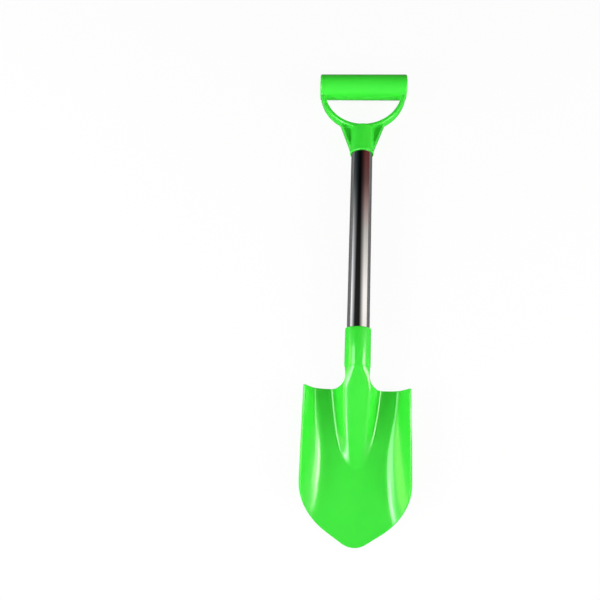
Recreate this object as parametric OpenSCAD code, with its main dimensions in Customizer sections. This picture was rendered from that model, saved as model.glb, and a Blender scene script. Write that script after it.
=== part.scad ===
// Child's sand shovel: a moulded scoop and a moulded D handle joined by a steel tube.
// It lies on its back: X across, Y from the tip of the scoop to the grip, Z up.

/* [Shaft] */
// Outside diameter of the steel tube
tube_d = 19; // [16:0.5:25]
// Wall of the steel tube
tube_wall = 0.8; // [0.5:0.1:1.5]
// Length of tube that shows between the two mouldings
shaft_show = 161.5; // [100:0.5:300]

/* [Sockets] */
// Wall of the moulded sockets round the tube
socket_wall = 1.2; // [1:0.1:2.5]
// How deep the tube seats in the scoop's socket
blade_socket_depth = 29; // [16:0.5:40]
// How deep the tube seats in the handle's socket
handle_socket_depth = 23.5; // [16:0.5:40]
// Thickness of the wall that closes each socket
socket_end = 3; // [2:0.5:5]
// Rounding of the socket mouths
mouth_round = 0.8; // [0.3:0.1:1]
// Gap all round between tube and socket
tube_gap = 0.1; // [0.05:0.05:0.3]

/* [Scoop] */
// Length of the scoop from its shoulders to its tip
scoop_len = 120.7; // [100:0.1:180]
// Width of the scoop's upper face at the shoulders
shoulder_w = 83; // [70:0.5:110]
// Width of the scoop's upper face where it is widest
scoop_w = 84.6; // [72:0.2:110]
// Radius of the corners where the sides turn in to the tip
corner_r = 44; // [36:1:52]
// Angle by which each corner turns in
corner_turn = 58; // [50:1:66]
// Radius of the tip
tip_r = 17.5; // [10:0.5:24]
// Wall of the scoop
scoop_wall = 2.2; // [1.6:0.1:3]
// Width of the flat floor between the side walls, at the shoulders
floor_w = 64; // [54:1:66]
// Width that the flat floor narrows to further down
floor_low_w = 40; // [30:1:50]
// Length over which the floor narrows
floor_taper = 65; // [40:1:90]
// Height of the side walls above the floor, at the shoulders
side_rise = 15; // [8:0.5:24]
// How late the side walls die away towards the tip
wall_fade = 4; // [2:0.5:6]
// How far the outer corners of the shoulders reach up
ear_reach = 1.8; // [0:0.1:4]
// Length over which that reach dies away
ear_len = 30; // [20:1:50]
// Height by which the tip lifts off the floor
tip_lift = 2.5; // [0:0.5:8]
// Length over which the tip lifts
tip_lift_len = 40; // [25:1:50]

/* [Ridge] */
// Length of the ridge from the shoulders to its point on the floor
ridge_len = 62.5; // [40:0.5:85]
// Radius of the ridge's broad top
ridge_top_r = 33; // [20:0.5:45]
// Steepness of the ridge's flanks at the shoulders, as rise over run
flank_top = 2.2; // [1.2:0.1:3]
// Steepness of the ridge's flanks at its nose, as rise over run
flank_nose = 0.9; // [0.6:0.1:2]
// Fullness of the ridge's outline: lower values keep it wide for longer
ridge_fullness = 0.34; // [0.26:0.02:0.6]
// Distance from the ridge's foot to the end of the neck's fillet
foot_inset = 1.4; // [1:0.2:5]
// Height over which the ridge blends into the floor
foot_blend = 6; // [2:0.5:8]
// Height over which the ridge's top blends into its flanks
edge_blend = 2; // [1:0.5:5]

/* [Neck] */
// Length of the neck from the closed end of the socket to the shoulders
neck_len = 18; // [14:0.5:40]
// Amount by which the neck is slimmer than the socket, each side
neck_waist = 0.9; // [0.4:0.1:2]
// Height of the flat on each side of the neck where it meets the socket
neck_flat = 4; // [2:0.5:8]
// Fillet between the neck and the shoulders, seen from above
neck_fillet = 10; // [6:0.5:13]

/* [Handle] */
// Diameter of the grip bar
grip_d = 23; // [20:0.5:30]
// Length of the grip bar
grip_len = 80.2; // [70:0.2:110]
// Rounding of the grip bar's ends
grip_round = 1.2; // [0.5:0.1:2]
// Distance from the mouth of the socket to the middle of the grip bar
handle_h = 71; // [64:0.5:100]
// Distance from the grip bar's end in to the outside of the D
yoke_inset = 0.3; // [0:0.1:2]
// Thickness of the D band, seen from above
yoke_t = 4.5; // [3.5:0.1:6]
// Depth of the D band, front to back
yoke_depth = 10; // [7:0.5:14]
// Distance from the closed end of the handle's socket to the middle of the D band
yoke_lead = 1.5; // [1:0.5:6]
// Rounding of the closed end of the handle's socket
collar_round = 1; // [0.5:0.5:7]

/* [Webs] */
// Distance from the socket's mouth to where the webs start
web_start = 5; // [2:0.5:10]
// Half of the webs' width where they meet the D
web_half = 21.5; // [16:0.5:26]
// Thickness of the webs
web_t = 3; // [2:0.5:5]
// Width of the rib along each web's outer edge
web_rib_w = 2.2; // [1.5:0.1:3]
// Depth of the rib along each web's outer edge, front to back
web_rib_depth = 8; // [5:0.5:12]

/* [Grip pockets] */
// Number of hollows in the back of the grip bar
pocket_count = 4; // [2:1:6]
// Width of each hollow, across the bar
pocket_w = 13; // [8:0.5:15]
// Wall left round the hollows
pocket_wall = 2.6; // [2:0.1:4]
// Thickness of the ribs between the hollows
pocket_rib = 2; // [1.5:0.1:4]

/* [Screws] */
// Diameter of the screw's shank
screw_d = 2.9; // [2.2:0.1:3.5]
// Diameter of the countersunk head
screw_head_d = 5.5; // [4.5:0.1:6]
// Length of the screw under its flush head
screw_len = 9; // [6:0.5:13]
// Height of the flat pad round each screw
pad_h = 0.4; // [0.2:0.1:1]
// Diameter of the flat pad round each screw
pad_d = 9; // [7:0.5:12]
// Gap all round between screw and hole
screw_gap = 0.05; // [0.05:0.05:0.2]

/* [Hidden] */
$fn = 64;
green = "limegreen";
steel = "silver";

// What fits round the tube
bore_r = tube_d / 2 + tube_gap;
socket_r = bore_r + socket_wall;
blade_socket_len = blade_socket_depth + socket_end;
handle_socket_len = handle_socket_depth + socket_end;
axis_h = max(grip_d / 2, socket_r + pad_h);
pad_z = axis_h - socket_r - pad_h;

// Places along the shovel, from the tip to the top of the grip
tip_slope = 2 * tip_lift / tip_lift_len;
tip_reach = scoop_wall * sin(atan(tip_slope));
below_shoulder = tip_reach + scoop_len;
shaft_to_grip = shaft_show + handle_h + grip_d / 2;
total_len = below_shoulder + neck_len + blade_socket_len + shaft_to_grip;
shoulder_y = below_shoulder - total_len / 2;
socket_end_y = shoulder_y + neck_len;
mouth_y = socket_end_y + blade_socket_len;
collar_y = mouth_y + shaft_show;
grip_y = collar_y + handle_h;

// The D's radius at the middle of its band, and its centre: straight arms run from there to the grip bar
yoke_r = grip_len / 2 - yoke_inset - yoke_t / 2;
yoke_y = collar_y + handle_socket_len + yoke_lead + yoke_r;

// The tube and its screws
tube_len = shaft_show + blade_socket_depth + handle_socket_depth;
tube_y = mouth_y - blade_socket_depth;
blade_screw_y = mouth_y - blade_socket_depth / 2;
handle_screw_y = collar_y + handle_socket_depth / 2;
screw_head_h = (screw_head_d - screw_d) / 2;
screw_point = screw_d;

// The scoop's upper face: how far down from the shoulders is called drop
neck_half = socket_r - neck_waist;
fillet_half = neck_half + neck_fillet;
floor_half = floor_w / 2;
floor_low_half = floor_low_w / 2;
side_half = scoop_w / 2;
crest_inset = 0.25;
crest_top = axis_h + socket_r - crest_inset;
crest_slope = (crest_top - scoop_wall) / (neck_len + ridge_len);
foot_half = fillet_half - foot_inset;
ear_gap = 4;
ear_start = fillet_half + ear_gap;
neck_r = socket_r - crest_inset;
neck_side = sqrt(neck_r * neck_r - pow(neck_flat / 2, 2));
step = 0.05;

// The scoop's outline: where each corner ends, where the tip starts and where the sides end
corner_half = side_half - corner_r * (1 - cos(corner_turn));
tip_half = tip_r * cos(corner_turn);
tip_drop = scoop_len - tip_r * (1 - sin(corner_turn));
corner_drop = tip_drop - (corner_half - tip_half) / tan(corner_turn);
side_len = corner_drop - corner_r * sin(corner_turn);

// Mesh of the scoop: rows down its length and columns across each half
neck_rows = 5;
fillet_rows = 9;
ridge_rows = 18;
side_rows = 4;
corner_rows = 9;
straight_rows = 3;
tip_rows = 5;
tip_last = 84;
ridge_cols = 12;
side_cols = 11;
first_side_row = neck_rows + fillet_rows;
row_crowding = 1.6;
nose_limit = 0.95;
nose_drop = min(ridge_len, nose_limit * side_len);
half_cols = ridge_cols + side_cols;
cols = 2 * half_cols + 1;
band_share = 0.6;
band_least = 9;

function clamp01(v) = min(1, max(0, v));
function mix(a, b, t) = a + (b - a) * t;
function smooth(v) = pow(clamp01(v), 2) * (3 - 2 * clamp01(v));
function smooth_max(a, b, k) = max(a, b) + pow(max(0, k - abs(a - b)), 2) / (4 * k);
function smooth_min(a, b, k) = min(a, b) - pow(max(0, k - abs(a - b)), 2) / (4 * k);

// Half width of the neck at a drop above the shoulders, with its fillet
function neck_edge(drop) =
    drop > -neck_fillet
        ? fillet_half - sqrt(max(0, pow(neck_fillet, 2) - pow(drop + neck_fillet, 2)))
        : mix(neck_half, neck_side, clamp01((-drop - neck_fillet) / (neck_len - neck_fillet)));

// How far up the neck a drop lies: 0 at the shoulders, 1 at the socket
function up_neck(drop) = clamp01(-drop / neck_len);

// Floor of the scoop and its lifted tip
function floor_z(drop) =
    scoop_wall + tip_lift * pow(max(0, drop - scoop_len + tip_lift_len) / tip_lift_len, 2);

// How far out a point lies between the foot of a rise and the edge of the scoop, squared
function rise_share(x, foot) = pow(max(0, abs(x) - foot) / (side_half - foot), 2);

// Floor with its side walls
function wall_foot(drop) = mix(floor_half, floor_low_half, smooth(drop / floor_taper));
function wall_rise(drop) = side_rise * (1 - pow(clamp01(drop / scoop_len), wall_fade));
function dish_z(x, drop) = floor_z(drop) + wall_rise(drop) * rise_share(x, wall_foot(drop));

// Share of its full width that the ridge has at a drop, and the half width of its foot
function ridge_share(drop) = pow(clamp01(1 - drop / ridge_len), ridge_fullness);
function ridge_foot(drop) = foot_half * ridge_share(drop);

// Ridge: a broad arc on top and steep flanks
function ridge_z(x, drop) =
    let (
        crest = crest_top - crest_slope * max(0, drop + neck_len),
        top_r = mix(ridge_top_r, neck_r, up_neck(drop)),
        arc = crest - top_r + sqrt(max(0, top_r * top_r - x * x)),
        steep = mix(flank_top, flank_nose, clamp01(drop / ridge_len)),
        flank = floor_z(drop) + (ridge_foot(drop) - abs(x)) * steep
    )
    smooth_min(arc, flank, edge_blend);

function face_z(x, drop) =
    smooth_max(dish_z(x, drop), ridge_z(x, drop), max(step, foot_blend * ridge_share(drop)));

// Round underside of the neck
function neck_under_z(x) = axis_h - sqrt(max(0, neck_r * neck_r - x * x));

// Half width of the scoop along its straight sides
function side_edge(drop) = mix(shoulder_w / 2, side_half, drop / side_len);

// Half width of the band of columns that follows the ridge
function band_half(drop, half) = min(max(ridge_foot(drop) + foot_inset, band_least), band_share * half);

// Rows as drop, half width of the ridge band and half width of the whole row
neck_row_list = [
    for (i = [0 : neck_rows - 1])
        let (drop = mix(-neck_len - socket_end / 2, -neck_fillet, i / neck_rows))
        [drop, neck_edge(drop), neck_edge(drop)]
];
fillet_row_list = [
    for (i = [0 : fillet_rows - 1])
        let (drop = -neck_fillet * (1 - sin(90 * i / fillet_rows)))
        [drop, neck_edge(drop), neck_edge(drop)]
];
ridge_row_list = [
    for (i = [0 : ridge_rows - 1])
        let (drop = nose_drop * (1 - pow(1 - i / ridge_rows, row_crowding)))
        [drop, band_half(drop, side_edge(drop)), side_edge(drop)]
];
side_row_list = [
    for (i = [0 : side_rows - 1])
        let (drop = mix(nose_drop, side_len, i / side_rows))
        [drop, band_half(drop, side_edge(drop)), side_edge(drop)]
];
corner_row_list = [
    for (i = [0 : corner_rows - 1])
        let (
            turn = corner_turn * i / corner_rows,
            half = side_half - corner_r * (1 - cos(turn)),
            drop = side_len + corner_r * sin(turn)
        )
        [drop, band_half(drop, half), half]
];
straight_row_list = [
    for (i = [0 : straight_rows - 1])
        let (
            half = mix(corner_half, tip_half, i / straight_rows),
            drop = mix(corner_drop, tip_drop, i / straight_rows)
        )
        [drop, band_half(drop, half), half]
];
tip_row_list = [
    for (i = [0 : tip_rows])
        let (
            turn = mix(corner_turn, tip_last, i / tip_rows),
            half = tip_r * cos(turn),
            drop = scoop_len - tip_r * (1 - sin(turn))
        )
        [i == tip_rows ? scoop_len : drop, band_half(drop, half), half]
];
rows = concat(
    neck_row_list, fillet_row_list, ridge_row_list, side_row_list,
    corner_row_list, straight_row_list, tip_row_list
);

function column_x(row, j) =
    let (c = abs(j))
    sign(j) * (
        c <= ridge_cols
            ? row[1] * mix(c / ridge_cols, sin(90 * c / ridge_cols), up_neck(row[0]))
            : mix(row[1], row[2], (c - ridge_cols) / side_cols)
    );

// Drop of a point of a row, with the shoulders' outer corners reaching up
function point_drop(row, x) =
    row[0] - ear_reach * clamp01(1 - row[0] / ear_len) * rise_share(x, ear_start);

function face_point(row, j) =
    let (
        x = column_x(row, j),
        drop = point_drop(row, x)
    )
    [x, shoulder_y - drop, face_z(x, drop)];

function face_normal(row, j) =
    let (
        x = column_x(row, j),
        drop = point_drop(row, x),
        along_x = (face_z(x + step, drop) - face_z(x - step, drop)) / (2 * step),
        along_y = (face_z(x, drop - step) - face_z(x, drop + step)) / (2 * step),
        n = [-along_x, -along_y, 1]
    )
    n / norm(n);

// The back: the face set back by the wall, closing to the round underside up the neck
function back_point(row, j) =
    let (
        face = face_point(row, j),
        closed = [face[0], face[1], neck_under_z(face[0])]
    )
    mix(face - scoop_wall * face_normal(row, j), closed, smooth(up_neck(row[0])));

// The two triangles of a four-cornered cell, cut from its first or its second corner
function halves(q, from_first) =
    from_first
        ? [[q[0], q[1], q[2]], [q[0], q[2], q[3]]]
        : [[q[0], q[1], q[3]], [q[1], q[2], q[3]]];

// One moulded sheet: the face above, the back below, and the rim between them
module scoop_sheet() {
    last = len(rows) - 1;
    upper = [for (row = rows) for (j = [-half_cols : half_cols]) face_point(row, j)];
    lower = [for (row = rows) for (j = [-half_cols : half_cols]) back_point(row, j)];
    under = len(upper);
    function at(r, j) = r * cols + j + half_cols;
    function solid_cell(r, j) =
        r >= 0 && r < last && j >= -half_cols && j < half_cols
        && (r >= first_side_row || (j >= -ridge_cols && j < ridge_cols));
    cells = [
        for (r = [0 : last - 1])
            for (j = [-half_cols : half_cols - 1])
                if (solid_cell(r, j)) [r, j]
    ];
    function cell(r, j) =
        [at(r, j), at(r, j + 1), at(r + 1, j + 1), at(r + 1, j)];
    function under_cell(r, j) = [for (i = [3 : -1 : 0]) under + cell(r, j)[i]];
    function rim(a, b) = halves([a, b, under + b, under + a], true);
    faces = [
        for (c = cells)
            let (
                r = c[0],
                j = c[1],
                corner = cell(r, j)
            )
            each concat(
                halves(corner, j < 0),
                halves(under_cell(r, j), j >= 0),
                solid_cell(r - 1, j) ? [] : rim(corner[1], corner[0]),
                solid_cell(r + 1, j) ? [] : rim(corner[3], corner[2]),
                solid_cell(r, j - 1) ? [] : rim(corner[0], corner[3]),
                solid_cell(r, j + 1) ? [] : rim(corner[2], corner[1])
            )
    ];
    polyhedron(points = concat(upper, lower), faces = faces);
}

// A bar standing on the origin, with its lower and upper edges rounded
module round_bar(r, len, low_round, high_round) {
    rotate_extrude() {
        translate([0, low_round])
            square([r, len - low_round - high_round]);
        square([r - low_round, len / 2]);
        translate([0, len / 2])
            square([r - high_round, len / 2]);
        translate([r - low_round, low_round])
            circle(low_round);
        if (high_round > 0)
            translate([r - high_round, len - high_round])
                circle(high_round);
    }
}

// A socket with its mouth on the origin, running along +Y to its closed end
module socket_body(depth, end_round) {
    rotate([-90, 0, 0])
        round_bar(socket_r, depth + socket_end, mouth_round, end_round);
}

module socket_bore(depth) {
    rotate([-90, 0, 0])
        translate([0, 0, -1])
            cylinder(r = bore_r, h = depth + 1);
}

// Flat pad under a socket for its screw, and the countersunk hole through it
module screw_pad() {
    translate([0, 0, pad_z])
        cylinder(d = pad_d, h = axis_h - pad_z);
}

module screw_hole() {
    translate([0, 0, pad_z - 1])
        cylinder(r = screw_d / 2 + screw_gap, h = axis_h - pad_z + 1);
    translate([0, 0, pad_z])
        cylinder(r1 = screw_head_d / 2 + screw_gap, r2 = screw_d / 2 + screw_gap, h = screw_head_h);
}

module at_axis(y) {
    translate([0, y, axis_h])
        children();
}

module blade() {
    color(green)
        difference() {
            union() {
                scoop_sheet();
                at_axis(mouth_y)
                    mirror([0, 1, 0])
                        socket_body(blade_socket_depth, 0);
                translate([0, blade_screw_y, 0])
                    screw_pad();
            }
            at_axis(mouth_y)
                mirror([0, 1, 0])
                    socket_bore(blade_socket_depth);
            translate([0, blade_screw_y, 0])
                screw_hole();
        }
}

module shaft() {
    color(steel)
        difference() {
            at_axis(tube_y)
                rotate([-90, 0, 0])
                    difference() {
                        cylinder(d = tube_d, h = tube_len);
                        translate([0, 0, -1])
                            cylinder(d = tube_d - 2 * tube_wall, h = tube_len + 2);
                    }
            for (y = [blade_screw_y, handle_screw_y])
                translate([0, y, 0])
                    screw_hole();
        }
}

// Section of the D band, with rounded front and back
module yoke_section() {
    straight = yoke_depth - yoke_t;
    square([yoke_t, straight], center = true);
    for (side = [-1, 1])
        translate([0, side * straight / 2])
            circle(d = yoke_t);
}

module yoke() {
    at_axis(yoke_y)
        rotate([0, 0, 180])
            rotate_extrude(angle = 180)
                translate([yoke_r, 0])
                    yoke_section();
    for (side = [-1, 1])
        at_axis(yoke_y)
            translate([side * yoke_r, 0, 0])
                rotate([-90, 0, 0])
                    linear_extrude(grip_y - yoke_y)
                        yoke_section();
}

// Webs from the socket out to the D, with a rib along each outer edge
module webs() {
    web_low = web_start;
    web_high = yoke_y - collar_y - sqrt(yoke_r * yoke_r - web_half * web_half);
    run = web_half - socket_r;
    rise = web_high - web_low;
    lean = atan2(rise, run);
    edge = norm([run, rise]);
    for (side = [0, 1])
        mirror([side, 0, 0])
            at_axis(collar_y) {
                translate([0, 0, -web_t / 2])
                    linear_extrude(web_t)
                        difference() {
                            polygon([[0, web_low], [socket_r, web_low], [web_half, web_high], [0, web_high]]);
                            translate([0, yoke_y - collar_y])
                                circle(yoke_r);
                        }
                translate([0, 0, -web_rib_depth / 2])
                    linear_extrude(web_rib_depth)
                        translate([socket_r, web_low])
                            rotate(lean)
                                square([edge, web_rib_w]);
            }
}

module grip() {
    translate([-grip_len / 2, grip_y, axis_h])
        rotate([0, 90, 0])
            round_bar(grip_d / 2, grip_len, grip_round, grip_round);
}

// Hollows moulded into the back of the grip bar, with ribs left between them
module grip_pockets() {
    inner_len = grip_len - 2 * yoke_t;
    pitch = inner_len / pocket_count;
    roof_r = grip_d / 2 - pocket_wall;
    for (i = [0 : pocket_count - 1])
        translate([(i + 0.5) * pitch - inner_len / 2, grip_y, axis_h])
            intersection() {
                translate([0, 0, -grip_d / 2])
                    cube([pitch - pocket_rib, pocket_w, 2 * grip_d], center = true);
                union() {
                    rotate([0, 90, 0])
                        cylinder(r = roof_r, h = pitch, center = true);
                    translate([0, 0, -grip_d / 2])
                        cube([pitch, 2 * roof_r, grip_d], center = true);
                }
            }
}

module handle() {
    color(green)
        difference() {
            union() {
                grip();
                yoke();
                webs();
                at_axis(collar_y)
                    socket_body(handle_socket_depth, collar_round);
                translate([0, handle_screw_y, 0])
                    screw_pad();
            }
            grip_pockets();
            at_axis(collar_y)
                socket_bore(handle_socket_depth);
            translate([0, handle_screw_y, 0])
                screw_hole();
        }
}

// Countersunk self-tapping screw, driven up from the back
module screw(y) {
    shank = screw_len - screw_head_h - screw_point;
    color(steel)
        translate([0, y, pad_z]) {
            cylinder(r1 = screw_head_d / 2, r2 = screw_d / 2, h = screw_head_h);
            translate([0, 0, screw_head_h])
                cylinder(d = screw_d, h = shank);
            translate([0, 0, screw_head_h + shank])
                cylinder(d1 = screw_d, d2 = 0, h = screw_point);
        }
}

module blade_screw() {
    screw(blade_screw_y);
}

module handle_screw() {
    screw(handle_screw_y);
}

blade();
shaft();
handle();
blade_screw();
handle_screw();
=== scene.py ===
# %% [markdown]
# # A sand shovel of moulded plastic and polished tube
# A child's sand shovel is two glossy mouldings, a scoop and a D handle, pushed onto the ends
# of a steel tube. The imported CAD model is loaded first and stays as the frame: it says where
# every piece sits, in metres. The pieces below take its places and sizes, and add what a
# photograph shows: smooth faces, round edges and finishes.

# %% Load the frame
import math

import bmesh
import bpy
from mathutils import Matrix, Vector


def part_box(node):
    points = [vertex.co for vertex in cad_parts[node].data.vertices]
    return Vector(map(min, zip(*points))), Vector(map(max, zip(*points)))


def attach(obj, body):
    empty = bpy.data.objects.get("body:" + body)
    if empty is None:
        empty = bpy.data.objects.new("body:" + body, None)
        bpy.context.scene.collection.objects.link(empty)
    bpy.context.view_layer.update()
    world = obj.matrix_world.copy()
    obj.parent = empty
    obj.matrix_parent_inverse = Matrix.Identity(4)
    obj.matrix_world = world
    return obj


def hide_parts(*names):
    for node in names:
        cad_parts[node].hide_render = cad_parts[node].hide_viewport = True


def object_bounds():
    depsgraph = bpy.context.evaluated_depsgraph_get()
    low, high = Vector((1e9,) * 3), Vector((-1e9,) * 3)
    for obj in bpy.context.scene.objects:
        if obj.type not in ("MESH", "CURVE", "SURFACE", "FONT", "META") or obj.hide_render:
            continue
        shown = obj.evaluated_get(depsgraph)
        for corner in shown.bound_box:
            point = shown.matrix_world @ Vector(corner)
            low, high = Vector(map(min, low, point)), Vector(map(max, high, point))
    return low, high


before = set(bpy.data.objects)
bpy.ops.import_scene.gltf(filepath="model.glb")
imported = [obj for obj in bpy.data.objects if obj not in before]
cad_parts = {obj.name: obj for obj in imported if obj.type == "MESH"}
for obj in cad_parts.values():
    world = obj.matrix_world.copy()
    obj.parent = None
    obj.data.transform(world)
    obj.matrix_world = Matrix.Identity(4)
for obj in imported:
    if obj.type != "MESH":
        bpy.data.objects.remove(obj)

cad_low, cad_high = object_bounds()
print("CAD box in mm:", [round(1000 * s, 1) for s in cad_high - cad_low])

# %% [markdown]
# ## Places along the shovel
# The shovel lies on its back: X is its width, Y runs from the tip to the grip and Z is up out
# of the scoop. Sizes are in millimetres, as on a drawing. They could be typed in, but read from
# the boxes of the CAD nodes they always fit them.

# %% Places
def box_mm(node):
    """Lowest and highest corner of a CAD node, in mm."""
    low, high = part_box(node)
    return low * 1000, high * 1000


blade_high = box_mm("blade")[1]
shaft_low, shaft_high = box_mm("shaft")
handle_low, handle_high = box_mm("handle")

tube_r = (shaft_high.x - shaft_low.x) / 2
axis_z = (shaft_low.z + shaft_high.z) / 2
mouth_y, collar_y = blade_high.y, handle_low.y  # where the tube leaves the scoop and the handle
blade_bore = mouth_y - shaft_low.y
handle_bore = shaft_high.y - collar_y
print("tube radius", round(tube_r, 2), "mm, axis", round(axis_z, 2), "mm above the ground")
print("tube shows for", round(collar_y - mouth_y, 1), "mm")

# %% [markdown]
# ## Tools for modelling by hand
# An operator acts on all that is selected, so everything is deselected before a new start is
# added. In edit mode, faces and edges are then picked in code by where their corners lie,
# as one would click them in the window.

# %% Picking and extruding
MM = 0.001  # Blender works in metres
X, Y, Z = range(3)
same_place = 0.01  # mm, near enough to count as one place


def deselect():
    bpy.ops.object.select_all(action="DESELECT")


def finish_start(name):
    """Names the primitive that was just added and moves its place into its mesh."""
    bpy.ops.object.transform_apply(location=True, rotation=True, scale=True)
    piece = bpy.context.object
    piece.name = piece.data.name = name
    return piece


def pick(piece, kind, wanted):
    """Enters edit mode and selects the faces or edges whose corners, in mm, pass a test."""
    bpy.context.view_layer.objects.active = piece
    bpy.ops.object.mode_set(mode="EDIT")
    bpy.ops.mesh.select_mode(type=kind)
    bpy.ops.mesh.select_all(action="DESELECT")
    mesh = bmesh.from_edit_mesh(piece.data)
    for part in mesh.faces if kind == "FACE" else mesh.edges:
        if wanted([corner.co / MM for corner in part.verts]):
            part.select_set(True)
    bmesh.update_edit_mesh(piece.data)


def everything(corners):
    """A test that all corners pass."""
    return True


def all_near(axis, place):
    """A test that every corner lies at one place along an axis."""
    return lambda corners: all(abs(c[axis] - place) < same_place for c in corners)


def extrude(x, y, z):
    """Extrudes what is selected by a step in mm."""
    step = (x * MM, y * MM, z * MM)
    bpy.ops.mesh.extrude_region_move(TRANSFORM_OT_translate={"value": step})


def done():
    """Points every face outward and leaves edit mode."""
    bpy.ops.mesh.select_all(action="SELECT")
    bpy.ops.mesh.normals_make_consistent(inside=False)
    bpy.ops.object.mode_set(mode="OBJECT")


print("one mm is", MM, "of Blender's units")

# %% [markdown]
# ## The steel tube
# The real shaft is thin-wall stainless tube, drawn, cut to length and polished. It starts as
# a cylinder. Both ends are inset by the wall, and bridging the two inner discs opens the bore.
# A curve with a round bevel would be quicker, but it has no wall.

# %% Tube
tube_wall, tube_sides = 0.8, 160


def cylinder(name, radius, start, end, sides=96):
    """A plain cylinder between two points, as the start of a piece."""
    start, end = Vector(start) * MM, Vector(end) * MM
    deselect()
    bpy.ops.mesh.primitive_cylinder_add(
        vertices=sides,
        radius=radius * MM,
        depth=(end - start).length,
        location=(start + end) / 2,
        rotation=(end - start).to_track_quat("Z", "Y").to_euler(),
    )
    return finish_start(name)


tube_ends = [(0, y, axis_z) for y in (shaft_low.y, shaft_high.y)]
tube = cylinder("tube", tube_r, *tube_ends, tube_sides)
pick(tube, "FACE", lambda c: all_near(Y, shaft_low.y)(c) or all_near(Y, shaft_high.y)(c))
bpy.ops.mesh.inset(thickness=tube_wall * MM)
bpy.ops.mesh.bridge_edge_loops()
done()
print("tube:", len(tube.data.polygons), "faces")

# %% [markdown]
# ## Sizes of the scoop
# The scoop is one sheet of plastic about 2 mm thick. Its numbers are named here as a mould
# maker would list them. "Half" is half of a width, and "drop" is how far a point lies below
# the shoulders, towards the tip.

# %% Scoop sizes
tube_gap, socket_wall, socket_end = 0.1, 1.2, 3
bore_r = tube_r + tube_gap
socket_r = bore_r + socket_wall
scoop_len, scoop_wall = 120.7, 2.2
shoulder_half, side_half = 41.5, 42.3
wall_start, wall_end, wall_len = 32, 20, 65  # where the walls' feet lie, and how soon they move in
side_rise, wall_fade = 15, 4
ear_start, ear_sweep, ear_len = 24, 1.8, 30  # the shoulders' outer corners reach up a little
tip_lift, tip_lift_len = 2.5, 40
neck_in, neck_step, neck_flat = 0.9, 0.25, 2  # how the neck is slimmer than its socket
neck_len, neck_fillet, neck_half = 18, 10, socket_r - neck_in
neck_r = socket_r - neck_step
neck_side = math.sqrt(neck_r**2 - neck_flat**2)
fillet_half = neck_half + neck_fillet
shoulder_y = mouth_y - blade_bore - socket_end - neck_len
print("scoop", 2 * side_half, "mm wide, neck", round(2 * neck_half, 1), "mm wide")

# %% [markdown]
# ## The scoop's surface
# The sheet's face is written as a height at every place. It could be sculpted, but heights keep
# both halves the same. A flat floor rises into side walls that die away towards the tip, and
# a ridge runs down out of the neck. The ridge is a broad arc with steep flanks, blended into
# the floor by a small radius.

# %% Height of the scoop's face
ridge_len, ridge_top_r, ridge_fullness = 62.5, 33, 0.34
flank_top, flank_nose = 2.2, 0.9  # slope of the ridge's flanks at the shoulders and at its point
foot_in, foot_blend, edge_blend, least_blend = 1.4, 6, 5, 0.05
foot_half = fillet_half - foot_in
crest_top = axis_z + neck_r
crest_slope = (crest_top - scoop_wall) / (neck_len + ridge_len)


def mix(a, b, t):
    return a + (b - a) * t


def clamp(t):
    return min(1, max(0, t))


def smooth(t):
    """A share from 0 to 1 that starts and ends gently."""
    return clamp(t) ** 2 * (3 - 2 * clamp(t))


def blend_max(a, b, k):
    """The larger of two heights, with a radius where they meet."""
    return max(a, b) + max(0, k - abs(a - b)) ** 2 / (4 * k)


def blend_min(a, b, k):
    """The smaller of two heights, with a radius where they meet."""
    return min(a, b) - max(0, k - abs(a - b)) ** 2 / (4 * k)


def up_neck(drop):
    """0 at the shoulders, 1 at the socket."""
    return clamp(-drop / neck_len)


def up_wall(x, foot):
    """0 at the foot of a side wall, 1 at the rim."""
    return max(0, abs(x) - foot) / (side_half - foot)


def ridge_share(drop):
    """Width of the ridge as a share of its width at the shoulders."""
    return clamp(1 - drop / ridge_len) ** ridge_fullness


def face_z(x, drop):
    """Height of the scoop's face."""
    x = abs(x)
    floor = scoop_wall + tip_lift * (max(0, drop - scoop_len + tip_lift_len) / tip_lift_len) ** 2
    foot = mix(wall_start, wall_end, smooth(drop / wall_len))
    dish = floor + side_rise * (1 - clamp(drop / scoop_len) ** wall_fade) * up_wall(x, foot) ** 2
    crest = crest_top - crest_slope * max(0, drop + neck_len)
    top_r = mix(ridge_top_r, neck_r, up_neck(drop))
    arc = crest - top_r + math.sqrt(max(0, top_r**2 - x**2))
    flank_slope = mix(flank_top, flank_nose, clamp(drop / ridge_len))
    flank = floor + (foot_half * ridge_share(drop) - x) * flank_slope
    ridge = blend_min(arc, flank, edge_blend)
    return blend_max(dish, ridge, max(least_blend, foot_blend * ridge_share(drop)))


print("crest at the shoulders:", round(face_z(0, 0), 1), "mm high")
print("rim at the shoulders:", round(face_z(shoulder_half, 0), 1), "mm high")

# %% [markdown]
# ## The scoop's outline
# Seen from above, the sides are nearly straight, then two wide corners turn into a small round
# tip. At the top the shoulders run in to the neck through a fillet. A curve could trace this,
# but the sheet also needs points inside, so it is laid out in rows down its length. Each row
# knows its drop, the half width of the band that follows the ridge and its full half width,
# so that the mesh is finest where the face bends most.

# %% Rows of the scoop
corner_r, corner_turn, tip_r, tip_last = 44, math.radians(58), 17.5, math.radians(86)
corner_half = side_half - corner_r * (1 - math.cos(corner_turn))
tip_half = tip_r * math.cos(corner_turn)
tip_drop = scoop_len - tip_r * (1 - math.sin(corner_turn))
corner_drop = tip_drop - (corner_half - tip_half) / math.tan(corner_turn)
side_len = corner_drop - corner_r * math.sin(corner_turn)
band_extra, band_least, band_most = 1.4, 9, 0.6  # mm, mm and share of the half width
neck_overlap, first_drop, crowding = 1.5, 0.4, 1.5


def spread(count):
    """Even shares from 0 up to, but not including, 1."""
    return [i / count for i in range(count)]


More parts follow.
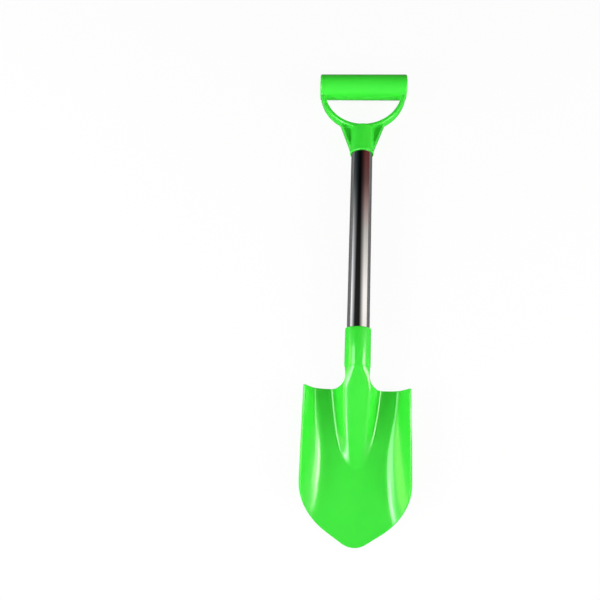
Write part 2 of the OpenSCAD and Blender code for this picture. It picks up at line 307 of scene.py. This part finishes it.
def row(drop, half):
    ridge_band = max(foot_half * ridge_share(drop) + band_extra, band_least)
    return drop, min(ridge_band, band_most * half), half


def neck_row(drop, half):
    """A row on the neck, which is all ridge."""
    return drop, half, half


rows = [
    neck_row(mix(-neck_len - neck_overlap, -neck_fillet, t), mix(neck_side, neck_half, t))
    for t in spread(5)
]
rows += [
    neck_row(-neck_fillet * (1 - math.sin(t)), fillet_half - neck_fillet * math.cos(t))
    for t in (math.pi / 2 * s for s in spread(9))
]
neck_rows = len(rows)
drops = [0] + [mix(first_drop, ridge_len, 1 - (1 - t) ** crowding) for t in spread(30)]
drops += [mix(ridge_len, side_len, t) for t in spread(4)]
rows += [row(drop, mix(shoulder_half, side_half, drop / side_len)) for drop in drops]
rows += [
    row(side_len + corner_r * math.sin(t), side_half - corner_r * (1 - math.cos(t)))
    for t in (corner_turn * s for s in spread(14))
]
rows += [row(mix(corner_drop, tip_drop, t), mix(corner_half, tip_half, t)) for t in spread(3)]
rows += [
    row(scoop_len - tip_r * (1 - math.sin(t)), tip_r * math.cos(t))
    for t in (mix(corner_turn, tip_last, s) for s in spread(7) + [1])
]
print(len(rows), "rows, sides straight for", round(side_len, 1), "mm")

# %% [markdown]
# ## The blank
# A flat grid is the blank for the scoop, with a line of points for each row. The cells beside
# the neck are deleted, and the rest is extruded in layers into a flat slab. The layers lie
# a whole metre apart for now, so that each point's layer can be told by its height.

# %% Flat slab
ridge_cols, side_cols = 16, 16
half_cols = ridge_cols + side_cols
last_row = len(rows) - 1
through = (0, 0.2, 0.8, 1)  # how deep in the wall each layer ends up

deselect()
bpy.ops.mesh.primitive_grid_add(x_subdivisions=2 * half_cols, y_subdivisions=last_row, size=2)
scoop = finish_start("scoop")


def cell_of(place):
    """Row and column of a point of the flat grid."""
    return round((1 - place.y) / 2 * last_row), round(place.x * half_cols)


def beside_neck(corners):
    cells = [cell_of(c * MM) for c in corners]
    on_neck = max(r for r, c in cells) <= neck_rows
    return on_neck and max(abs(c) for r, c in cells) > ridge_cols


pick(scoop, "FACE", beside_neck)
bpy.ops.mesh.delete(type="FACE")
bpy.ops.mesh.select_all(action="SELECT")
for _ in through[1:]:
    extrude(0, 0, -1 / MM)
done()
print("slab:", len(scoop.data.polygons), "faces in", len(through), "layers")

# %% [markdown]
# ## Pressing the scoop
# The slab is pressed into shape, as in a mould: upper points go to the face, lower points one
# wall thickness behind it. Up the neck the lower points close to a round underside, where the
# real moulding closes onto its socket. One level of subdivision rounds the rim, like the
# run-out edge of a moulding.

# %% Scoop sheet
probe = 0.05  # mm, the step over which a slope is measured


def face_point(r, c):
    drop, ridge_band, half = rows[r]
    n = abs(c)
    if n <= ridge_cols:
        share = n / ridge_cols
        x = ridge_band * mix(share, math.sin(math.pi / 2 * n / ridge_cols), up_neck(drop))
    else:
        x = mix(ridge_band, half, 1 - (1 - (n - ridge_cols) / side_cols) ** crowding)
    x = math.copysign(x, c)
    drop -= ear_sweep * clamp(1 - drop / ear_len) * up_wall(x, ear_start) ** 2
    return Vector((x, shoulder_y - drop, face_z(x, drop)))


def back_point(r, c):
    point = face_point(r, c)
    x, drop = point.x, shoulder_y - point.y
    slope_x = (face_z(x + probe, drop) - face_z(x - probe, drop)) / (2 * probe)
    slope_y = (face_z(x, drop - probe) - face_z(x, drop + probe)) / (2 * probe)
    behind = point - scoop_wall * Vector((-slope_x, -slope_y, 1)).normalized()
    closed = Vector((x, point.y, axis_z - math.sqrt(max(0, neck_r**2 - x**2))))
    return behind.lerp(closed, smooth(up_neck(drop)))


def apply_modifier(piece, kind, **settings):
    """Adds a modifier with its settings and applies it."""
    deselect()
    bpy.context.view_layer.objects.active = piece
    piece.select_set(True)
    modifier = piece.modifiers.new(kind.lower(), kind)
    for name, value in settings.items():
        setattr(modifier, name, value)
    bpy.ops.object.modifier_apply(modifier=modifier.name)


for vertex in scoop.data.vertices:
    r, c = cell_of(vertex.co)
    vertex.co = face_point(r, c).lerp(back_point(r, c), through[round(-vertex.co.z)]) * MM
apply_modifier(scoop, "SUBSURF", levels=1, render_levels=1)
print("scoop:", len(scoop.data.polygons), "faces")

# %% [markdown]
# ## The scoop's socket
# The neck ends in a round socket that takes the tube. On the real shovel it comes out of the
# same mould. Here it is a solid bar with a rounded mouth, joined to the sheet, and the bore is
# cut after joining, so that no wall is left inside. A low pad behind it carries a countersunk
# screw, which keeps the tube from pulling out. The screw's hole goes through the tube's wall too.

# %% Cutting tools
screw_r, head_r, screw_gap = 1.45, 2.75, 0.05
head_h = head_r - screw_r
pad_r, pad_z, pad_sides = 4.5, 0.3, 64
screw_sides, hole_turn = 48, 0.03  # turned, so that no corner falls on a line of the tube
cut_past = 1  # mm that a cutter reaches past the face it opens
merge_reach = 0.004  # mm


def combine(piece, other, operation):
    """Joins another solid to the piece, or cuts it out, and removes the other."""
    apply_modifier(piece, "BOOLEAN", operation=operation, object=other, solver="EXACT")
    bpy.data.objects.remove(other)


def clean(piece):
    """Merges points that a cut left a few thousandths of a millimetre apart."""
    pick(piece, "FACE", everything)
    bpy.ops.mesh.remove_doubles(threshold=merge_reach * MM)
    done()


def round_edge(piece, place, radius, steps=4):
    """Rounds the edge loop that lies at one place along the shovel."""
    pick(piece, "EDGE", all_near(Y, place))
    bpy.ops.mesh.bevel(offset=radius * MM, segments=steps, affect="EDGES")
    done()


def screw_cone(name, y, gap=0.0, turn=0.0):
    """The countersunk cone of a screw's head, head down, at a place along the shovel."""
    deselect()
    bpy.ops.mesh.primitive_cone_add(
        vertices=screw_sides,
        radius1=(head_r + gap) * MM,
        radius2=(screw_r + gap) * MM,
        depth=head_h * MM,
        location=Vector((0, y, pad_z + head_h / 2)) * MM,
        rotation=(0, 0, turn),
    )
    return finish_start(name)


def screw_hole(y):
    """A countersink and a hole up through the wall of the socket, as a solid to cut with."""
    hole = screw_cone("hole", y, screw_gap, hole_turn)
    for place, reach in ((pad_z, -cut_past), (pad_z + head_h, axis_z - pad_z - head_h)):
        pick(hole, "FACE", all_near(Z, place))
        extrude(0, 0, reach)
        done()
    return hole


def screw_pad(y):
    """The flat pad behind a socket, from its face to the middle of the tube."""
    return cylinder("pad", pad_r, (0, y, pad_z), (0, y, axis_z), pad_sides)


print("countersink", 2 * head_r, "mm wide and", round(head_h, 2), "mm deep")

# %% [markdown]
# The socket's far end is closed, so the tube stops against it. Its edge is rounded where it steps
# down to the neck.

# %% Socket, bore and screw hole
mouth_round, step_round, step_segments = 0.8, 0.4, 3
socket_y = mouth_y - blade_bore - socket_end
blade_screw_y = mouth_y - blade_bore / 2

socket = cylinder("socket", socket_r, (0, mouth_y, axis_z), (0, socket_y, axis_z))
round_edge(socket, mouth_y, mouth_round)
round_edge(socket, socket_y, step_round, step_segments)
combine(scoop, socket, "UNION")
combine(scoop, screw_pad(blade_screw_y), "UNION")
bore_start, bore_end = (0, mouth_y + cut_past, axis_z), (0, mouth_y - blade_bore, axis_z)
combine(scoop, cylinder("bore", bore_r, bore_start, bore_end), "DIFFERENCE")
combine(scoop, screw_hole(blade_screw_y), "DIFFERENCE")
combine(tube, screw_hole(blade_screw_y), "DIFFERENCE")
clean(scoop)
scoop.name = scoop.data.name = "scoop_moulding"
print("scoop with socket:", len(scoop.data.polygons), "faces")

# %% [markdown]
# ## The grip bar and the D
# The handle is one moulding too: a thick grip bar, a D-shaped band below it and a collar on the
# tube. Each form is made from a simple solid, and then they are joined into one. The bar is
# a cylinder with rounded ends. The band starts as a circle, pulled long into the section of
# the band, which is spun through half a turn and extruded up into the bar.

# %% Grip bar
grip_r = (handle_high.z - handle_low.z) / 2
grip_half = (handle_high.x - handle_low.x) / 2
grip_y = handle_high.y - grip_r
grip_round, grip_steps = 1.2, 5

grip = cylinder("grip", grip_r, (-grip_half, grip_y, axis_z), (grip_half, grip_y, axis_z))
pick(grip, "EDGE", lambda c: all_near(X, -grip_half)(c) or all_near(X, grip_half)(c))
bpy.ops.mesh.bevel(offset=grip_round * MM, segments=grip_steps, affect="EDGES")
done()
print("grip", round(2 * grip_half, 1), "mm wide and", round(2 * grip_r, 1), "mm thick")

# %% [markdown]
# A bent strip would have sharp edges. The real band is round in front and behind, so that
# it slips out of the mould and sits well in the hand, and a long round section gives that.

# %% D band
band_t, band_depth, band_sides, band_steps = 4.5, 10, 40, 72
band_in, band_gap = 0.3, 1.5  # in from the grip's ends, and up from the collar's closed end
band_r = grip_half - band_in - band_t / 2
band_y = collar_y + handle_bore + socket_end + band_gap + band_r

deselect()
bpy.ops.mesh.primitive_circle_add(
    vertices=band_sides,
    radius=band_t / 2 * MM,
    location=Vector((band_r, band_y, axis_z)) * MM,
    rotation=(math.pi / 2, 0, 0),
)
band = finish_start("band")
for side in (-1, 1):
    pick(band, "EDGE", lambda c: all(side * (p.z - axis_z) > same_place for p in c))
    bpy.ops.transform.translate(value=(0, 0, side * (band_depth - band_t) / 2 * MM))
    bpy.ops.object.mode_set(mode="OBJECT")
pick(band, "EDGE", everything)
band_middle = Vector((0, band_y, axis_z)) * MM
bpy.ops.mesh.spin(steps=band_steps, angle=math.pi, center=band_middle, axis=(0, 0, 1))
bpy.ops.mesh.remove_doubles(threshold=0.001 * MM)
bpy.ops.object.mode_set(mode="OBJECT")
pick(band, "EDGE", all_near(Y, band_y))
extrude(0, grip_y - band_y, 0)
bpy.ops.mesh.select_all(action="SELECT")
bpy.ops.mesh.fill_holes(sides=0)
done()
band_low = min(v.co.y for v in band.data.vertices) / MM
print("bottom of the D", round(band_low - collar_y, 1), "mm above the collar's mouth")

# %% [markdown]
# ## Collar and webs
# The collar is a socket like the scoop's, with a rounder end. Two thin webs fill the corner
# between the collar and the D, and a deeper rib stands along each free edge. A solid wedge
# would fill the corner too, but thick plastic sinks as it cools, so moulders use thin ones.

# %% Collar and webs
web_low, web_half, web_t, rib_w, rib_depth = 5, 21.5, 3, 2.2, 8
web_high = band_y - collar_y - math.sqrt(band_r**2 - web_half**2)
collar_end = collar_y + handle_bore + socket_end
collar_end_round = 1

collar = cylinder("collar", socket_r, (0, collar_y, axis_z), (0, collar_end, axis_z))
round_edge(collar, collar_y, mouth_round)
round_edge(collar, collar_end, collar_end_round)


def plate(name, corners, thick):
    """A flat plate: a plane pulled to four corners and extruded through its thickness."""
    deselect()
    bpy.ops.mesh.primitive_plane_add(size=1)
    piece = finish_start(name)
    ring = [piece.data.vertices[i] for i in piece.data.polygons[0].vertices]
    for vertex, corner in zip(ring, corners):
        vertex.co = Vector((corner[0], corner[1], axis_z - thick / 2)) * MM
    pick(piece, "FACE", everything)
    extrude(0, 0, thick)
    done()
    return piece


web_lean = Vector((web_half - socket_r, web_high - web_low)).normalized()
inward = Vector((-web_lean.y, web_lean.x)) * rib_w
web_foot = Vector((socket_r, collar_y + web_low))
web_head = Vector((web_half, collar_y + web_high))
web_sheet = [(0, web_foot.y), web_foot, web_head, (0, collar_end + band_gap)]
rib = [web_foot, web_head, web_head + inward, web_foot + inward]
webs = []
for side in (-1, 1):
    for name, corners, thick in (("web", web_sheet, web_t), ("rib", rib, rib_depth)):
        webs.append(plate(name, [(side * x, y) for x, y in corners], thick))
print("webs reach", round(web_high, 1), "mm up from the collar's mouth")

# %% [markdown]
# ## Joining the handle
# The back of the bar is cored out by four hollows, because a thick bar of solid plastic would
# sink as it cools. Each hollow is cut with a block whose roof has rounded edges, so that it
# follows the round of the bar.

# %% Join and core
pocket_count, pocket_w, pocket_wall, pocket_rib = 4, 13, 2.6, 2
pocket_round, pocket_steps = 3.5, 5
pocket_pitch = (2 * grip_half - 2 * band_t) / pocket_count
pocket_roof = axis_z + grip_r - pocket_wall
handle_screw_y = collar_y + handle_bore / 2


def pocket_block(middle):
    """A block for one hollow, from below the ground up to its rounded roof."""
    deselect()
    bpy.ops.mesh.primitive_cube_add(
        size=1,
        location=Vector((middle, grip_y, pocket_roof / 2 - cut_past)) * MM,
        scale=Vector((pocket_pitch - pocket_rib, pocket_w, pocket_roof + 2 * cut_past)) * MM,
    )
    block = finish_start("pocket")
    roof = all_near(Z, pocket_roof)
    pick(block, "EDGE", lambda c: roof(c) and not all_near(X, c[0].x)(c))
    bpy.ops.mesh.bevel(offset=pocket_round * MM, segments=pocket_steps, affect="EDGES")
    done()
    return block


for form in [band, collar, *webs]:
    combine(grip, form, "UNION")
combine(grip, screw_pad(handle_screw_y), "UNION")
for i in range(pocket_count):
    combine(grip, pocket_block((i + 0.5 - pocket_count / 2) * pocket_pitch), "DIFFERENCE")
bore_start, bore_end = (0, collar_y - cut_past, axis_z), (0, collar_y + handle_bore, axis_z)
combine(grip, cylinder("bore", bore_r, bore_start, bore_end), "DIFFERENCE")
combine(grip, screw_hole(handle_screw_y), "DIFFERENCE")
combine(tube, screw_hole(handle_screw_y), "DIFFERENCE")
clean(tube)
print("handle joined:", len(grip.data.polygons), "faces, tube:", len(tube.data.polygons))

# %% [markdown]
# The joined handle has sharp inner corners, and a bevel can't round so many crossings. So it is
# remeshed at half a millimetre and relaxed a little. That leaves every inner corner with the
# small radius that plastic needs to flow, and every outer edge slightly round.

# %% Soften the handle
voxel, relax_share, relax_steps = 0.5, 0.5, 5
apply_modifier(grip, "REMESH", mode="VOXEL", voxel_size=voxel * MM, adaptivity=0)
apply_modifier(grip, "SMOOTH", factor=relax_share, iterations=relax_steps)
grip.name = grip.data.name = "handle_moulding"
print("handle:", len(grip.data.polygons), "faces")

# %% [markdown]
# ## The screws
# Two small countersunk screws hold the mouldings on the tube from behind. The head is a cone with
# a cross recess for the driver, cut with two thin blocks. The shank is extruded up from it
# through the wall, and ends in a point. The thread is hidden, so it is left plain.

# %% Screws
shank_len, point_len, point_share = 4.8, 2.8, 0.1
recess = (3.2, 0.75, 2)


def screw(name, y):
    """One countersunk screw, point up."""
    piece = screw_cone(name, y)
    head_top = pad_z + head_h
    pick(piece, "FACE", all_near(Z, head_top))
    extrude(0, 0, shank_len)
    extrude(0, 0, point_len)
    point_middle = Vector((0, y, head_top)) * MM
    bpy.ops.transform.resize(value=(point_share, point_share, 1), center_override=point_middle)
    done()
    for turn in (0, math.pi / 2):
        deselect()
        bpy.ops.mesh.primitive_cube_add(
            size=1,
            location=Vector((0, y, pad_z)) * MM,
            rotation=(0, 0, turn),
            scale=Vector(recess) * MM,
        )
        combine(piece, finish_start("slot"), "DIFFERENCE")
    return piece


blade_screw = screw("blade_screw_steel", blade_screw_y)
handle_screw = screw("handle_screw_steel", handle_screw_y)
print("screw:", len(blade_screw.data.polygons), "faces")

# %% [markdown]
# ## Green plastic
# The scoop and the handle are polypropylene, coloured right through and moulded in a polished
# mould. One helper adds a node with its settings and links, and all patterns read Object
# coordinates, so that they stay on the piece. Each pattern's scale comes from a size in mm.

# %% Green plastic
COLOUR_A, COLOUR_B, COLOUR_OUT = 6, 7, 2  # a Mix node's colour sockets, whose names repeat
flow_size, haze_size, peel_depth = 30, 3, 0.1


def linear(code):
    """An sRGB hex colour as the linear values that the shader takes."""
    parts = [int(code[i : i + 2], 16) / 255 for i in (1, 3, 5)]
    return [p / 12.92 if p <= 0.04045 else ((p + 0.055) / 1.055) ** 2.4 for p in parts] + [1]


def add(tree, kind, inputs, **settings):
    """Adds a node to a tree, with its settings, input values and links."""
    node = tree.nodes.new(kind)
    for name, value in settings.items():
        setattr(node, name, value)
    for socket, value in inputs.items():
        if isinstance(value, bpy.types.NodeSocket):
            tree.links.new(value, node.inputs[socket])
        else:
            node.inputs[socket].default_value = value
    return node


def new_material(name):
    """A new material, its node tree, its shader and the place on the piece."""
    material = bpy.data.materials.new(name)
    material.use_nodes = True
    tree = material.node_tree
    place = add(tree, "ShaderNodeTexCoord", {}).outputs["Object"]
    return material, tree, tree.nodes["Principled BSDF"], place


# Polypropylene from a polished mould: an even, strong green with a clear gloss. The colour drifts
# a little where the melt flowed, and a faint orange peel softens the edges of each highlight.
green, tree, shader, place = new_material("injection_moulded_polypropylene_green")
flow_scale, haze_scale = 1 / (flow_size * MM), 1 / (haze_size * MM)
flow = add(tree, "ShaderNodeTexNoise", {"Vector": place, "Scale": flow_scale, "Detail": 2})
tones = {"Factor": flow.outputs["Fac"], COLOUR_A: linear("#39E438"), COLOUR_B: linear("#43EC3F")}
tint = add(tree, "ShaderNodeMix", tones, data_type="RGBA")
haze = add(tree, "ShaderNodeTexNoise", {"Vector": place, "Scale": haze_scale, "Detail": 3})
gloss = {"Value": haze.outputs["Fac"], "To Min": 0.15, "To Max": 0.21}
rough = add(tree, "ShaderNodeMapRange", gloss)
bump = {"Height": haze.outputs["Fac"], "Strength": 0.05, "Distance": peel_depth * MM}
peel = add(tree, "ShaderNodeBump", bump)
tree.links.new(tint.outputs[COLOUR_OUT], shader.inputs["Base Color"])
tree.links.new(rough.outputs["Result"], shader.inputs["Roughness"])
tree.links.new(peel.outputs["Normal"], shader.inputs["Normal"])
shader.inputs["IOR"].default_value = 1.49
print(green.name)

# %% [markdown]
# ## Polished steel
# The tube was drawn through a die and then polished along its length. Drawing leaves fine lines
# along the tube, so the noise is stretched along Y. Polishing takes nearly all of them away,
# so they only change the roughness a little and give no bump.

# %% Polished steel
line_width, line_stretch = 0.4, 0.01

# Stainless steel, drawn and polished: a cool, nearly clean mirror. The eye sees the room in it
# as light and dark bands along the tube, with slightly streaked edges.
steel, tree, shader, place = new_material("drawn_and_polished_stainless_tube")
along = add(tree, "ShaderNodeMapping", {"Vector": place, "Scale": (1, line_stretch, 1)})
drawn = {"Vector": along.outputs["Vector"], "Scale": 1 / (line_width * MM), "Detail": 2}
lines = add(tree, "ShaderNodeTexNoise", drawn)
gloss = {"Value": lines.outputs["Fac"], "To Min": 0.04, "To Max": 0.09}
rough = add(tree, "ShaderNodeMapRange", gloss)
tree.links.new(rough.outputs["Result"], shader.inputs["Roughness"])
shader.inputs["Metallic"].default_value = 1
shader.inputs["Base Color"].default_value = linear("#D6D6D8")
print(steel.name)

# %% [markdown]
# ## Screw steel
# The screws are made by the thousand: wire is pressed cold into a head, and then tumbled clean.
# They could share the tube's steel, but they are never polished, so they look greyer.

# %% Screw steel
grain_size = 0.3

# Stainless wire, cold headed and tumbled: a satin grey with a fine, even grain and soft highlights.
bright, tree, shader, place = new_material("cold_headed_stainless_screw")
tumbled = {"Vector": place, "Scale": 1 / (grain_size * MM), "Detail": 3}
grain = add(tree, "ShaderNodeTexNoise", tumbled)
gloss = {"Value": grain.outputs["Fac"], "To Min": 0.22, "To Max": 0.4}
rough = add(tree, "ShaderNodeMapRange", gloss)
tree.links.new(rough.outputs["Result"], shader.inputs["Roughness"])
shader.inputs["Metallic"].default_value = 1
shader.inputs["Base Color"].default_value = linear("#BFBFC0")
print(bright.name)

# %% [markdown]
# ## Putting the pieces on the frame
# Each piece stands for one CAD node, gets its material, and rides on the one rigid body. Faces that
# meet at a low angle are shaded as one smooth face, and sharper edges stay crisp.

# %% Assign
smooth_angle = math.radians(32)

for piece, node, slot, material in (
    (scoop, "blade", "green_plastic", green),
    (tube, "shaft", "steel_tube", steel),
    (grip, "handle", "green_plastic", green),
    (blade_screw, "blade_screw", "steel_screw", bright),
    (handle_screw, "handle_screw", "steel_screw", bright),
):
    deselect()
    bpy.context.view_layer.objects.active = piece
    piece.select_set(True)
    bpy.ops.object.shade_smooth_by_angle(angle=smooth_angle)
    piece.data.materials.clear()
    piece.data.materials.append(material)
    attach(piece, "root")
    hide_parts(node)
    print(piece.name, "stands for", node)

# %% [markdown]
# ## The floor
# The photograph shows the shovel on pure white, as on a sheet of paper. The floor is nearly all
# white to the camera, and the small rest of it keeps a soft shadow. In reflections it is grey,
# so that the tube's edges stay dark against it.

# %% Floor
floor_size, floor_gap = 8, 0.2
white_share = 0.92

deselect()
bpy.ops.mesh.primitive_plane_add(size=floor_size, location=(0, 0, cad_low.z - floor_gap * MM))
floor = finish_start("floor")
# Matt white paper: even white with no gloss, on which only a soft shadow shows.
paper = bpy.data.materials.new("white_paper")
paper.use_nodes = True
tree = paper.node_tree
tree.nodes.clear()
path = add(tree, "ShaderNodeLightPath", {})
shares = {0: path.outputs["Is Camera Ray"], 1: white_share}
seen = add(tree, "ShaderNodeMath", shares, operation="MULTIPLY")
mirrored = path.outputs["Is Glossy Ray"]
tones = {"Factor": mirrored, COLOUR_A: linear("#FAFAFA"), COLOUR_B: linear("#8C8C8C")}
tone = add(tree, "ShaderNodeMix", tones, data_type="RGBA")
matt = add(tree, "ShaderNodeBsdfDiffuse", {"Color": tone.outputs[COLOUR_OUT]})
glow = add(tree, "ShaderNodeEmission", {"Color": linear("#FFFFFF"), "Strength": 1})
layers = {0: seen.outputs[0], 1: matt.outputs[0], 2: glow.outputs[0]}
both = add(tree, "ShaderNodeMixShader", layers)
add(tree, "ShaderNodeOutputMaterial", {"Surface": both.outputs[0]})
floor.data.materials.append(paper)
print("floor at", round(floor.data.vertices[0].co.z * 1000, 2), "mm")

# %% [markdown]
# ## The room
# A polished tube shows mostly what stands round it. In the photograph its lower end mirrors
# bright walls on both sides of a dark ceiling, and its upper end a darker part of the room, bluish
# on the left and reddish on the right. An image of a room could light it, but here the world's
# light is worked out from each ray's direction: across, ahead along the shovel, and up.

# %% World
ceiling_lean = -0.32  # the dark ceiling leans to one side

world = bpy.data.worlds.new("studio")
bpy.context.scene.world = world
world.use_nodes = True
tree = world.node_tree
tree.nodes.clear()
path = add(tree, "ShaderNodeLightPath", {})
ray = add(tree, "ShaderNodeTexCoord", {}).outputs["Generated"]
across, ahead, height = add(tree, "ShaderNodeSeparateXYZ", {0: ray}).outputs
slant = {0: across, 1: ceiling_lean, 2: height}
leaning = add(tree, "ShaderNodeMath", slant, operation="MULTIPLY_ADD").outputs[0]
fades = []  # light levels, each going from one value to another over a range of directions
for ray_part, start, end, at_start, at_end in (
    (leaning, 0.45, 0.93, 1.4, 0.02),  # bright walls, dark ceiling
    (ahead, 0.05, 0.25, 0.4, 1),  # dimmer over the scoop
    (ahead, 0.28, 0.46, 1, 0.12),  # dark beyond the handle
    (across, -0.3, 0.3, 0, 1),  # from the left tint to the right one
    (ahead, 0.38, 0.5, 0, 1),  # from the bright end's tint to the dark one's
):
    span = {"From Min": start, "From Max": end, "To Min": at_start, "To Max": at_end}
    fades.append(add(tree, "ShaderNodeMapRange", {"Value": ray_part, **span}).outputs[0])
level, near, far, side, depth = fades
strip = add(tree, "ShaderNodeMath", {0: near, 1: far}, operation="MULTIPLY").outputs[0]
walls = add(tree, "ShaderNodeMath", {0: level, 1: strip}, operation="MULTIPLY").outputs[0]
tints = []
for bright_end, dark_end in (("#FFFFFF", "#8CA6B0"), ("#FFFAF2", "#FF8880")):
    tones = {"Factor": depth, COLOUR_A: linear(bright_end), COLOUR_B: linear(dark_end)}
    tints.append(add(tree, "ShaderNodeMix", tones, data_type="RGBA").outputs[COLOUR_OUT])
tones = {"Factor": side, COLOUR_A: tints[0], COLOUR_B: tints[1]}
cloth = add(tree, "ShaderNodeMix", tones, data_type="RGBA").outputs[COLOUR_OUT]
room = add(tree, "ShaderNodeBackground", {"Color": cloth, "Strength": walls})
white = add(tree, "ShaderNodeBackground", {"Color": linear("#FFFFFF"), "Strength": 1})
views = {0: path.outputs["Is Camera Ray"], 1: room.outputs[0], 2: white.outputs[0]}
shown = add(tree, "ShaderNodeMixShader", views)
add(tree, "ShaderNodeOutputWorld", {"Surface": shown.outputs[0]})
print("world:", len(tree.nodes), "nodes")

# %% [markdown]
# ## The lights
# Soft boxes stand left and right of the shovel, as in a product studio. Some of them show only
# as streaks in the gloss, where the walls and the edges of the ridge catch them. Others only
# shade: two low ones from the sides leave the troughs beside the ridge dark, and one above fills
# the rest. One set could do both, but then every change to a streak would change the colours.

# %% Lights
def soft_box(name, place, aim, wide, long, watts, shades, tint="#FFFFFF"):
    """A soft box that either shades the plastic or shows as a streak in its gloss."""
    light = bpy.data.lights.new(name, "AREA")
    light.shape = "RECTANGLE"
    light.size, light.size_y, light.energy = long, wide, watts
    light.color = linear(tint)[:3]
    box = bpy.data.objects.new(name, light)
    bpy.context.collection.objects.link(box)
    box.location = place
    box.visible_diffuse, box.visible_glossy = shades, not shades
    box.rotation_euler = (Vector(place) - Vector(aim)).to_track_quat("Z", "Y").to_euler()


scoop_middle = (0, -0.14, 0)
streaks = (  # name, place, width, length, watts, tint
    ("left_streak", (-0.52, -0.1, 0.64), 0.34, 0.34, 3.0, "#FFFFFF"),
    ("left_tip_streak", (-0.52, -0.5, 0.64), 0.34, 0.24, 1.6, "#FFFFFF"),
    ("ridge_spot", (-0.52, -0.47, 0.64), 0.12, 0.1, 0.7, "#FFFFFF"),
    ("corner_spot", (-0.46, -0.25, 0.69), 0.12, 0.06, 0.5, "#FFFFFF"),
    ("left_low_streak", (-0.78, -0.15, 0.3), 0.35, 0.5, 1.8, "#FFEFA8"),
    ("right_streak", (0.64, -0.13, 0.52), 0.14, 0.28, 2.9, "#FFF6EA"),
    ("right_low_streak", (0.74, -0.085, 0.38), 0.1, 0.37, 1.2, "#FFF6EA"),
)
shading = (  # name, place, aim, width, length, watts
    ("left_key", (-0.7, -0.25, 0.36), (0, -0.05, 0), 0.3, 0.9, 5.2),
    ("right_key", (0.72, -0.25, 0.33), (0, -0.05, 0), 0.3, 0.9, 4.5),
    ("top_fill", (0, -0.35, 1.15), (0, 0.1, 0), 0.8, 1.0, 4.6),
)
for name, place, wide, long, watts, tint in streaks:
    soft_box(name, place, scoop_middle, wide, long, watts, False, tint)
for box in shading:
    soft_box(*box, shades=True)
print(len(streaks), "boxes for streaks,", len(shading), "for shading")

# %% [markdown]
# ## The camera
# The camera's place was worked out from the outline in the photograph: the grip, the tube and
# the scoop all shrink with distance, which gives a camera half a metre above the scoop, leaning
# towards the handle. It could be set by eye, but then each size would be a little off.

# %% Camera
aim, distance = Vector((-49.8, -13.3, 11.5)) * MM, 480.2 * MM
turn, tilt, roll = math.radians(15.3), math.radians(15.78), math.radians(-13.03)
focal_px, frame_px, sensor = 564, 600, 36

lean_out = math.sin(tilt)
back = Vector((math.sin(turn) * lean_out, -math.cos(turn) * lean_out, math.cos(tilt)))
right = Vector((math.cos(turn), math.sin(turn), 0))
up = back.cross(right)
right, up = (
    right * math.cos(roll) + up * math.sin(roll),
    up * math.cos(roll) - right * math.sin(roll),
)
camera = bpy.data.objects.new("camera", bpy.data.cameras.new("camera"))
bpy.context.collection.objects.link(camera)
camera.data.sensor_width = sensor
camera.data.lens = sensor * focal_px / frame_px
camera.data.clip_start = 0.01
camera.location = aim + back * distance
camera.rotation_euler = Matrix((right, up, back)).transposed().to_euler()
bpy.context.scene.camera = camera
bpy.context.scene.view_settings.view_transform = "Standard"
print("camera at", [round(c * 1000) for c in camera.location], "mm")
